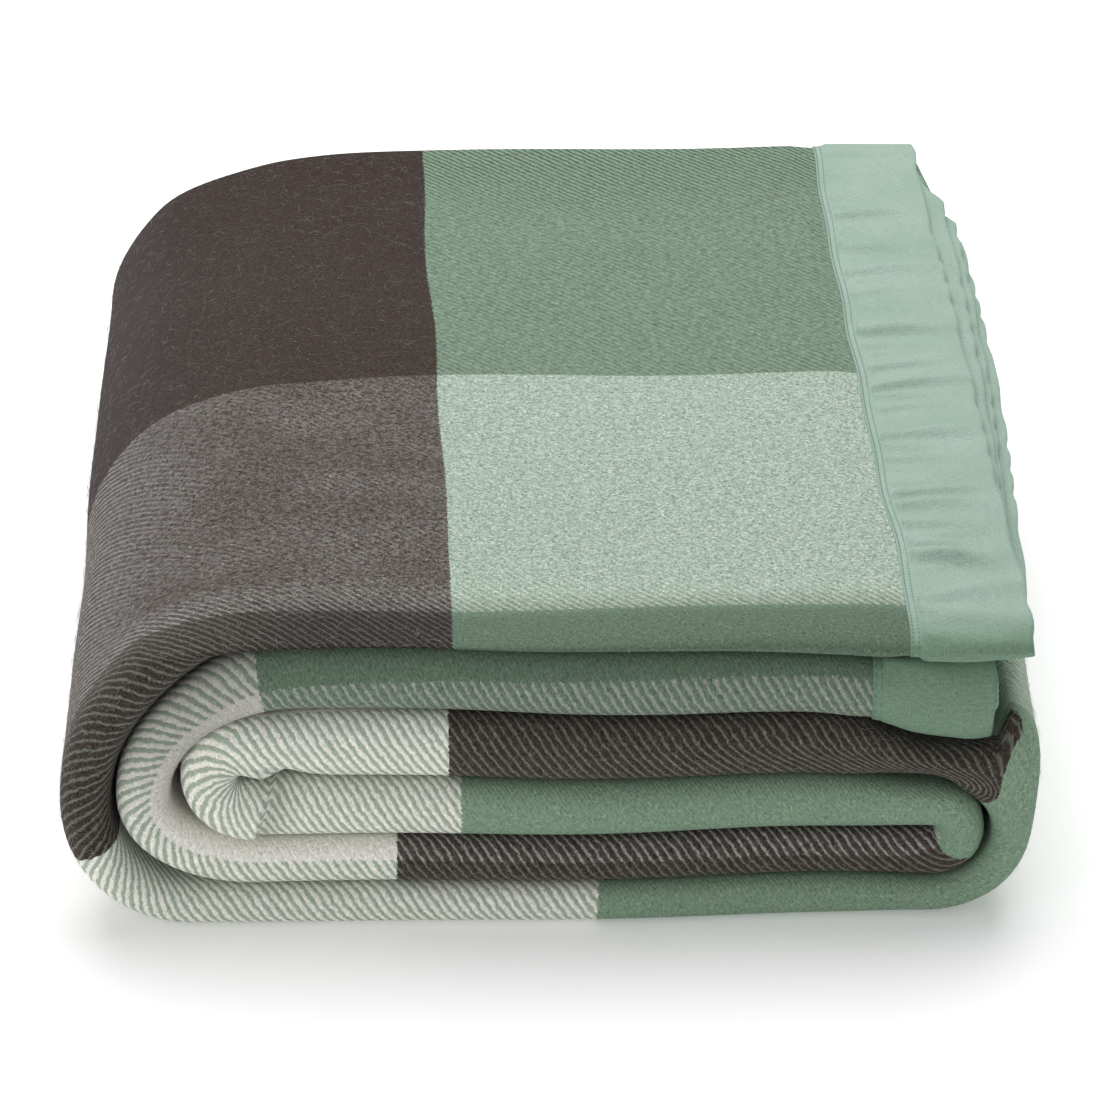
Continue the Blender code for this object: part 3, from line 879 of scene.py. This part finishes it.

# %% [markdown]
# ## Materials
#
# Each finish is built from the real thing's structure. The wool is a twill of two sets of yarn:
# one set is coloured by its place along the blanket, the other by its place across it, and the
# over-two-under-two weave decides which shows. Brushing then raises a haze of fibres. On top of
# that, painted sheen lightens the brushed top and painted shade darkens the top levels' fronts.

# %% Node helpers
def linear(code):
    """An sRGB hex code as linear RGBA: ((c + 0.055) / 1.055)^2.4, or c / 12.92 in the darks."""
    channels = [int(code[k:k + 2], 16) / 255 for k in (1, 3, 5)]
    return tuple(c / 12.92 if c <= 0.04045 else ((c + 0.055) / 1.055) ** 2.4 for c in channels) + (1.0,)


# The property that holds each kind of node's mode.
MODES = {"Math": "operation", "VectorMath": "operation", "Mix": "data_type", "TexNoise": "noise_dimensions",
         "MapRange": "interpolation_type", "UVMap": "uv_map", "Attribute": "attribute_name"}


def node(tree, kind, *inputs, **named):
    """Add a node of a kind, written as "Kind" or "Kind:mode", and give it back.

    ``inputs`` go in order to the sockets that this mode uses, and ``named`` to sockets by name. A
    socket takes a plain value, an output, or a node, whose first output in use is then linked.
    """
    kind, _, mode = kind.partition(":")
    made = tree.nodes.new("ShaderNode" + kind)
    if mode:
        setattr(made, MODES[kind], mode)
    in_use = [socket for socket in made.inputs if socket.enabled]
    by_name = [(made.inputs[title.replace("_", " ")], value) for title, value in named.items()]
    for socket, value in [*zip(in_use, inputs), *by_name]:
        if isinstance(value, bpy.types.Node):
            value = next(output for output in value.outputs if output.enabled)
        if isinstance(value, bpy.types.NodeSocket):
            tree.links.new(value, socket)
        else:
            socket.default_value = value
    return made


def new_finish(name, **constants):
    """A material, its Principled shader and its node adder; constants set the shader's sockets."""
    finish = bpy.data.materials.new(name)
    finish.use_nodes = True
    shader = finish.node_tree.nodes["Principled BSDF"]
    for title, value in constants.items():
        shader.inputs[title.replace("_", " ")].default_value = value
    return finish, shader, functools.partial(node, finish.node_tree)


def wire(finish, shader, **sources):
    """Link each node's first output in use to the shader's socket of that name."""
    for title, source in sources.items():
        output = next(output for output in source.outputs if output.enabled)
        finish.node_tree.links.new(output, shader.inputs[title.replace("_", " ")])


# %% Yarn colours
BROWN_YARN = "#2e211d"
CREAM_YARN = "#eeebe3"
GREEN_YARN = "#76937a"
YARNS = (GREEN_YARN, BROWN_YARN, CREAM_YARN)
# The square root of the green yarn's brightness, which tells the nodes which column is green.
GREEN_BRIGHT = 0.52
ROW_EDGES = (-0.200, 0.040, 0.290, 0.595, 0.845, 1.095, 1.345, 1.595)


def u_where(x, z, low_u, high_u):
    """Distance along the strip of the route's point nearest to x and z, between two distances."""
    far = np.hypot(route_x - x, route_z - z) + ((even_u < low_u) | (even_u > high_u))
    return float(even_u[np.argmin(far)])


# Where each column of the check ends: a place on the route, and the stretch of strip to look in.
COLUMN_EDGES = [u_where(*place_and_stretch) for place_and_stretch in (
    (-0.0325, LEVEL_MIDDLES[5], 0.0, 0.33),
    (-0.2010, 0.0420, 0.33, 0.60),
    (0.0190, LEVEL_MIDDLES[0], 0.55, 0.90),
    (0.2080, 0.0700, 0.80, 1.05),
    (-0.0428, LEVEL_MIDDLES[3], 1.00, 1.35),
    (-0.0465, LEVEL_MIDDLES[2], 1.35, 1.60),
    (0.1860, 0.0335, 1.55, 1.75),
    (-0.0598, LEVEL_MIDDLES[1], 1.70, 2.00),
    (-0.1290, LEVEL_MIDDLES[4], 2.00, 2.35),
)]
print("column edges, m:", np.round(COLUMN_EDGES, 3))
RAMP_SPAN = 2.6
ROW_RAMP_START = 0.7


def stripe_ramp(add, place, edges, colours):
    """Colour by place: a stepped ramp over the whole cloth, whose stops are the stripe edges."""
    ramp = add("ValToRGB", place)
    ramp.color_ramp.interpolation = "CONSTANT"
    stops = ramp.color_ramp.elements
    stops[0].position, stops[0].color = 0, linear(colours[0])
    stops[1].position, stops[1].color = edges[0], linear(colours[1])
    for edge, colour in zip(edges[1:], colours[2:]):
        stops.new(edge).color = linear(colour)
    return ramp


# %% [markdown]
# ### Brushed wool twill
#
# A 2/2 twill has ribs of yarn that climb at a slant. Here they are drawn 4.4 mm apart, which is a
# coarse blanket twill, so that they show. On the folds the ribs are crisp. On the flat top the
# raised nap nearly hides them, so the pattern there is a soft mottle. The amount of nap is an
# attribute on the cloth, and it also places a painted sheen, a pale and cool haze, on the top.
# Another attribute holds painted shade on the fronts of the top levels.

# %% Brushed wool
RIB_PITCH_U = 0.0044
RIB_PITCH_V = 0.0051
YARN_STEP = 0.0014


def wool_colours(add):
    """The wool's flat UV, its u and v, and the colours of its yarns along and across."""
    flat = add("UVMap:flat_cloth")
    u, v, _ = add("SeparateXYZ", flat).outputs
    # Loose fibres blur every stripe edge by about a millimetre.
    blur = add("TexNoise:2D", flat, Scale=900.0, Detail=3.0, Roughness=0.7)
    shaken = add("Math:MULTIPLY_ADD", blur, 0.0032, -0.0016)
    u_place = add("Math:DIVIDE", add("Math:ADD", u, shaken), RAMP_SPAN)
    v_start = add("Math:ADD", add("Math:ADD", v, shaken), ROW_RAMP_START)
    v_place = add("Math:DIVIDE", v_start, RAMP_SPAN)
    columns = [YARNS[k % 3] for k in range(len(COLUMN_EDGES) + 1)]
    rows = [YARNS[(1 - k) % 3] for k in range(len(ROW_EDGES) + 1)]
    along = stripe_ramp(add, u_place, [edge / RAMP_SPAN for edge in COLUMN_EDGES], columns)
    across = stripe_ramp(add, v_place, [(edge + ROW_RAMP_START) / RAMP_SPAN for edge in ROW_EDGES], rows)
    return flat, u, v, along, across


def twill_ribs(add, flat, u, v, bright):
    """The twill's sine wave over the flat cloth, and its ribs, which are thin on dark columns."""
    wobble = add("TexNoise:2D", flat, Scale=260.0, Detail=2.0)
    slant = add("Math:SUBTRACT", add("Math:DIVIDE", u, RIB_PITCH_U), add("Math:DIVIDE", v, RIB_PITCH_V))
    phase = add("Math:ADD", slant, add("Math:MULTIPLY_ADD", wobble, 0.5, -0.25))
    # Steps of one yarn give each rib its beaded edge.
    beads = add("Math:PINGPONG", add("Math:DIVIDE", v, YARN_STEP), 0.5)
    phase = add("Math:ADD", phase, add("Math:MULTIPLY", beads, 0.10))
    wave = add("Math:SINE", add("Math:MULTIPLY", phase, 2 * math.pi))
    # Dark columns are woven denser, so the crossing yarn shows as a thinner line on them.
    raised = add("Math:ADD", wave, add("Math:MULTIPLY_ADD", bright, 0.78, -0.60))
    return wave, add("MapRange:SMOOTHSTEP", raised, -0.45, 0.75)


def wool_twill():
    """Brushed wool blanket cloth: 2/2 twill, matt, with a soft sheen of fibre."""
    finish, shader, add = new_finish("brushed_wool_twill", Roughness=0.95, Sheen_Weight=0.05,
                                     Sheen_Roughness=0.55, Specular_IOR_Level=0.1)
    flat, u, v, along, across = wool_colours(add)
    bright = add("Math:SQRT", add("RGBToBW", along))
    cross_bright = add("Math:SQRT", add("RGBToBW", across))
    wave, rib = twill_ribs(add, flat, u, v, bright)
    speck = add("TexNoise:2D", flat, Scale=800.0, Detail=4.0, Roughness=0.78, Distortion=0.8)
    clump = add("TexNoise:2D", flat, Scale=310.0, Detail=3.0, Roughness=0.6, Distortion=0.5)
    mottle = add("MapRange", add("Math:MULTIPLY", add("Math:ADD", speck, clump), 0.5), 0.41, 0.60)
    # Brushing is uneven, so the nap stands higher in some patches than in others.
    nap = add("Attribute:nap").outputs["Fac"]
    patches = add("TexNoise:2D", flat, Scale=22.0, Detail=3.0)
    uneven = add("Math:MULTIPLY", nap, add("Math:MULTIPLY_ADD", patches, 0.7, 0.6))
    brushed_and_sheen = add("MapRange", uneven, 0.25, 1.0, 0.10, 0.80)
    shown = add("Mix:FLOAT", brushed_and_sheen, rib, mottle)
    # On the brushed top the long brown nap hides most of the crossing yarn as well.
    least = add("Math:MULTIPLY_ADD", brushed_and_sheen, -0.46, 0.50)
    open_share = add("MapRange", bright, 0.15, 0.91, least, 0.74)
    cover = add("Math:MULTIPLY", add("Math:MULTIPLY_ADD", shown, 0.95, 0.05), open_share)
    # Dark crossing yarn shows more strongly in the green columns, whose nap lets it through.
    from_green = add("Math:ABSOLUTE", add("Math:SUBTRACT", bright, GREEN_BRIGHT))
    in_green = add("MapRange", from_green, 0.0, 0.40, 1.0, 0.0)
    dark_share = add("Math:MULTIPLY", in_green, add("Math:MULTIPLY_ADD", cross_bright, -0.60, 0.54))
    cover = add("Math:MULTIPLY", cover, add("Math:ADD", dark_share, 1.0))
    # Brown fibres dust the green yarn where it is caught between brown yarns, and grey it.
    cross_from_green = add("Math:ABSOLUTE", add("Math:SUBTRACT", cross_bright, GREEN_BRIGHT))
    is_green = add("Math:MULTIPLY_ADD", cross_from_green, -2.4, 1.0)
    dust = add("Math:MULTIPLY", is_green, add("Math:MULTIPLY_ADD", bright, -0.90, 0.75))
    across = add("Mix:RGBA", dust, across, linear("#a8a29b"))
    mixed = add("Mix:RGBA", cover, along, across)
    # Pale and dark single fibres lie over everything, in short squiggles.
    bent = add("TexNoise:2D", flat, Scale=420.0, Detail=2.0, Distortion=1.6)
    from_line = add("Math:ABSOLUTE", add("Math:SUBTRACT", bent, 0.5))
    thin = add("MapRange:SMOOTHSTEP", from_line, 0.0, 0.020, 1.0, 0.0)
    hairs = add("Math:MULTIPLY", thin, add("Math:MULTIPLY", speck, 0.26))
    # A faint pale haze on the brushed top is painted sheen; the squiggles added to it are real fibres.
    fibre_and_sheen_haze = add("Math:MULTIPLY_ADD", brushed_and_sheen, 0.02, hairs)
    with_fibres_and_sheen = add("Mix:RGBA", fibre_and_sheen_haze, mixed, linear("#c9c3bc"))
    # Painted sheen: the light checks turn a little blue on the brushed top, where the nap stands high.
    cool_sheen_share = add("MapRange", add("RGBToBW", mixed), 0.08, 0.50, 0.0, 0.32)
    with_fibres_and_sheen = add("Mix:RGBA", add("Math:MULTIPLY", cool_sheen_share, brushed_and_sheen), with_fibres_and_sheen, linear("#a9b5bd"))
    depth = add("Math:MULTIPLY_ADD", brushed_and_sheen, 0.8, add("Math:MULTIPLY_ADD", bright, -1.7, 3.0))
    shade = add("Math:MULTIPLY_ADD", add("Math:SUBTRACT", speck, 0.5), depth, 1.0)
    shade = add("Math:MULTIPLY", shade, add("MapRange", rib, To_Min=1.03, To_Max=0.96))
    # Painted shade: the cloth on the fronts of the top two levels is darkened to about half.
    pressed = add("Attribute:pressed").outputs["Fac"]
    shade = add("Math:MULTIPLY", shade, add("Math:MULTIPLY_ADD", pressed, -0.48, 1.0))
    final = add("VectorMath:SCALE", with_fibres_and_sheen, shade)
    relief = add("Math:ADD", add("Math:MULTIPLY", add("Math:ABSOLUTE", wave), 0.35),
                 add("Math:MULTIPLY", speck, 0.9))
    bump = add("Bump", Height=relief, Strength=0.55, Distance=0.0007)
    wire(finish, shader, Base_Color=final, Normal=bump)
    return finish


def raised_fibre():
    """Single wool fibres: the colour of the yarn below them, paler where light passes through."""
    finish, shader, add = new_finish("raised_wool_fibre", Roughness=0.9, Sheen_Weight=0.3,
                                     Specular_IOR_Level=0.2)
    along, across = wool_colours(add)[3:]
    mixed = add("Mix:RGBA", 0.25, along, across)
    pale = add("Mix:RGBA", 0.34, mixed, linear("#e4e2da"))
    wire(finish, shader, Base_Color=pale)
    return finish


wool = wool_twill()
cloth.data.materials.append(wool)
fibre = raised_fibre()
for piece in (top_fibres, fold_fibres):
    piece.data.materials.append(fibre)
print("finishes:", wool.name, fibre.name)


# %% [markdown]
# ### Cotton sateen ribbon and spun thread
#
# Sateen floats its yarns along one direction, which gives a soft sheen and a faint grain. The
# thread is spun polyester, a little darker than the ribbon, so the stitches read as small dents.

# %% Ribbon and thread finishes
def ribbon_sateen():
    """Cotton sateen ribbon: pale sage, fine grain across the ribbon, a soft sheen."""
    finish, shader, add = new_finish("sage_cotton_sateen", Roughness=0.62, Sheen_Weight=0.08,
                                     Sheen_Roughness=0.4, Specular_IOR_Level=0.3)
    flat = add("UVMap:flat_cloth")
    stretched = add("Mapping", flat, Scale=(1800.0, 260.0, 1.0))
    grain = add("TexNoise:2D", stretched, Scale=1.0, Detail=3.0, Roughness=0.6)
    cloudy = add("TexNoise:2D", flat, Scale=26.0, Detail=3.0)
    speck = add("TexNoise:2D", flat, Scale=1300.0, Detail=2.0)
    tint = add("Mix:RGBA", cloudy, linear("#839c8d"), linear("#98ada1"))
    shade = add("Math:MULTIPLY_ADD", grain, 0.55, add("Math:MULTIPLY_ADD", speck, 0.65, 0.38))
    # Bent over a fold, the sateen's floats stop shining and its deeper green shows.
    # Painted shade: on the fronts of the top two levels the ribbon turns a deeper, darker green.
    pressed = add("Attribute:pressed").outputs["Fac"]
    tint = add("Mix:RGBA", pressed, tint, linear("#6b8671"))
    final = add("VectorMath:SCALE", tint, shade)
    relief = add("Math:ADD", grain, add("Math:MULTIPLY", speck, 0.6))
    bump = add("Bump", Height=relief, Strength=0.35, Distance=0.0003)
    wire(finish, shader, Base_Color=final, Normal=bump)
    return finish


def spun_thread():
    """Spun polyester sewing thread: deep sage, matt, with a twist too fine to see beyond a mottle."""
    finish, shader, add = new_finish("spun_polyester_thread", Roughness=0.6, Sheen_Weight=0.1)
    twist = add("TexNoise:2D", add("UVMap:flat_cloth"), Scale=2500.0, Detail=1.0)
    tint = add("Mix:RGBA", twist, linear("#3f6353"), linear("#6b8f7e"))
    wire(finish, shader, Base_Color=tint)
    return finish


sateen = ribbon_sateen()
thread = spun_thread()
for piece in (head_ribbon, foot_ribbon):
    piece.data.materials.append(sateen)
for piece in stitches.values():
    piece.data.materials.append(thread)
print("finishes:", sateen.name, thread.name)

# %% [markdown]
# ## Floor and light
#
# A plain pale floor runs up behind the pack as the world's own white, and gives off a little light
# of its own so that the shadow on it stays pale. One broad soft light hangs over the pack, a weaker
# one fills from the left, and a faint one from low in front. That leaves the fronts of the folds
# darker than the top, with soft shadows in the creases.

# %% Floor
FLOOR_REACH = 7.0
WHITE = (1, 1, 1, 1)
under = cad_low.z - 0.0004
floor_mesh = bpy.data.meshes.new("studio_floor")
corners = [(x * FLOOR_REACH, y * FLOOR_REACH, under) for x, y in ((-1, -1), (1, -1), (1, 1), (-1, 1))]
floor_mesh.from_pydata(corners, [], [(0, 1, 2, 3)])
floor = bpy.data.objects.new("studio_floor", floor_mesh)
bpy.context.scene.collection.objects.link(floor)
floor_paint = new_finish("white_studio_floor", Roughness=0.9, Base_Color=(0.91, 0.91, 0.91, 1),
                         Emission_Color=WHITE, Emission_Strength=0.20)[0]
floor.data.materials.append(floor_paint)

world = bpy.data.worlds.new("studio_white")
world.use_nodes = True
backdrop = world.node_tree.nodes["Background"].inputs
backdrop["Color"].default_value = WHITE
backdrop["Strength"].default_value = 0.38
bpy.context.scene.view_settings.view_transform = "Standard"
bpy.context.scene.world = world
print("floor, m:", 2 * FLOOR_REACH)


# %% Lights
def soft_light(name, place, aim, size, power):
    """A square area light at a place, turned toward a point."""
    data = bpy.data.lights.new(name, "AREA")
    data.size = size
    data.energy = power
    light = bpy.data.objects.new(name, data)
    light.location = place
    toward = [b - a for a, b in zip(place, aim)]
    tip = math.atan2(math.hypot(toward[0], toward[1]), -toward[2])
    light.rotation_euler = (tip, 0, math.atan2(toward[1], toward[0]) - math.pi / 2)
    bpy.context.scene.collection.objects.link(light)


soft_light("overhead_softbox", (0.0, 1.0, 2.4), (0, 0.2, 0.1), 2.8, 84)
soft_light("left_fill", (-1.6, -1.5, 0.7), (0, 0, 0.1), 1.2, 9)
soft_light("low_front_fill", (0.1, -2.1, 0.30), (0, 0, 0.03), 0.9, 3)

# %% Hand over the pieces
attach(cloth, "root")
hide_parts("wool_cloth")
for ribbon, node_name in ((head_ribbon, "head_binding"), (foot_ribbon, "foot_binding")):
    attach(ribbon, "root")
    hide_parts(node_name)
for fibres in (top_fibres, fold_fibres):
    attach(fibres, "root")
for node_name, piece in stitches.items():
    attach(piece, "root")
    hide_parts(node_name)
